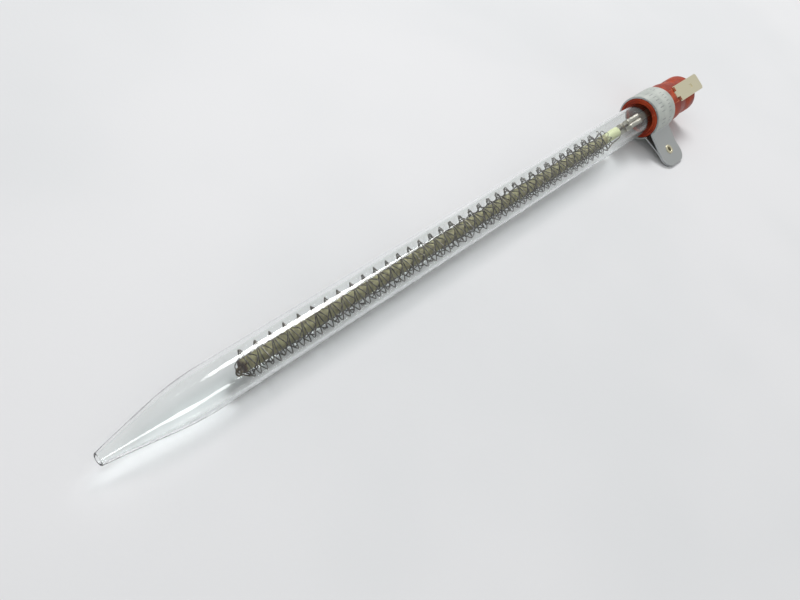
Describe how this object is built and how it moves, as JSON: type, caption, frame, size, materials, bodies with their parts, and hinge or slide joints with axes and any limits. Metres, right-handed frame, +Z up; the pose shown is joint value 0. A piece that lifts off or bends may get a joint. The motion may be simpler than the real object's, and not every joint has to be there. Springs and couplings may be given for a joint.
{
  "type": "in-line hot air heater element",
  "caption": "Quartz-tube hot air heater element with a drawn nozzle, a coil wound on a ceramic core, a silicone air-inlet cap with blade terminals and a riveted strap clip.",
  "frame": {"origin": "centre of the air inlet's mouth, in the rear face of the silicone end cap, on the tube's axis", "axes": "+X along the tube axis, out of the air inlet's mouth (the nozzle is at -X); +Z up when the element lies on a table on its clip ear, lower blade and tube; the ear reaches towards -Y"},
  "size_m": [0.265, 0.0281, 0.017],
  "materials": {
    "quartz": "clear, fire-polished",
    "silicone": "red-orange moulded silicone, satin",
    "ceramic": "unglazed, greenish beige",
    "resistance_wire": "oxidised heating wire",
    "lead_wire": "oxidised wire",
    "terminal_brass": "pale rolled brass",
    "ferrule_nickel": "dull nickel plate",
    "strap_aluminium": "satin mill finish",
    "eyelet_brass": "satin",
    "label_film": "light grey film label, blank"
  },
  "bodies": {
    "element": {"quartz_tube": "quartz", "end_cap": "silicone", "ceramic_core": "ceramic", "heating_coil": "resistance_wire", "return_wire": "lead_wire", "coil_lead": "lead_wire", "upper_terminal": "terminal_brass", "lower_terminal": "terminal_brass", "upper_ferrule": "ferrule_nickel", "lower_ferrule": "ferrule_nickel"},
    "clip": {"clamp_strap": "strap_aluminium", "clamp_eyelet": "eyelet_brass", "clamp_label": "label_film"}
  },
  "joints": [
    {"name": "clip_swivel", "type": "hinge", "parent": "element", "child": "clip", "pos_m": [-0.02655, 0, 0], "axis": [1, 0, 0], "continuous": true}
  ]
}
